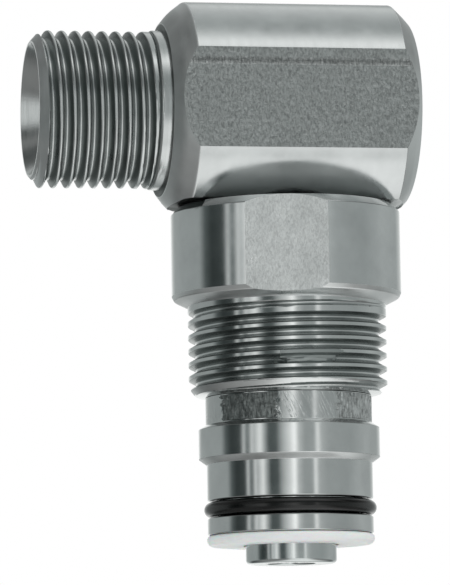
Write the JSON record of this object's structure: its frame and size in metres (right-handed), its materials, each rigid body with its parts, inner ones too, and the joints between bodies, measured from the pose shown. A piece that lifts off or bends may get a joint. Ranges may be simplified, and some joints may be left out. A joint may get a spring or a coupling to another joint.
{
  "type": "cartridge valve",
  "caption": "Screw-in steel non-return cartridge with ring-sealed nose and a swivelling right-angle outlet that ends in a pipe thread.",
  "frame": {"origin": "on the cartridge's axis, at the lower edge of the round wrench collar, where the seating cone and the port thread begin", "axes": "+Z along the cartridge's axis, from the inlet nose up to the elbow; -X along the outlet spigot, out of its mouth; -Y out of the elbow's front wrench flat"},
  "size_m": [0.0505, 0.0302, 0.075],
  "materials": {
    "elbow_steel": "machined stainless steel, turned, with milled flats",
    "body_steel": "machined stainless steel, fine turning marks",
    "nose_steel": "turned stainless steel with jaw marks on the neck",
    "stem_steel": "ground stainless steel",
    "spring_steel": "drawn spring wire",
    "bronze": "bearing bronze, turned",
    "black_rubber": "oiled nitrile rubber",
    "white_plastic": "satin white acetal",
    "seal_plastic": "tan filled polymer"
  },
  "bodies": {
    "cartridge": {"cartridge_body": "body_steel", "nose_sleeve": "nose_steel", "nose_body_o_ring": "black_rubber", "nose_o_ring": "black_rubber", "face_seal": "white_plastic", "inlet_nozzle": "nose_steel", "nozzle_o_ring": "black_rubber", "seat_ring": "seal_plastic", "spring_guide": "stem_steel", "guide_bush": "bronze", "retaining_ring": "spring_steel", "lower_thrust_washer": "bronze", "wiper_ring": "black_rubber", "poppet_spring": "spring_steel"},
    "elbow": {"elbow_body": "elbow_steel", "swivel_stem": "stem_steel", "elbow_stem_seal": "black_rubber", "stem_o_ring_upper": "black_rubber", "stem_o_ring_lower": "black_rubber", "backup_ring_upper": "seal_plastic", "backup_ring_lower": "seal_plastic", "upper_thrust_washer": "bronze"},
    "poppet": {"poppet": "stem_steel"}
  },
  "joints": [
    {"name": "elbow_swivel", "type": "hinge", "parent": "cartridge", "child": "elbow", "pos_m": [0, 0, 0.0117], "axis": [0, 0, 1], "continuous": true},
    {"name": "poppet_lift", "type": "slide", "parent": "cartridge", "child": "poppet", "axis": [0, 0, 1], "range_m": [0, 0.003], "stiffness_N_per_m": 400, "springref_m": -0.003, "deforming": ["poppet_spring"]}
  ]
}
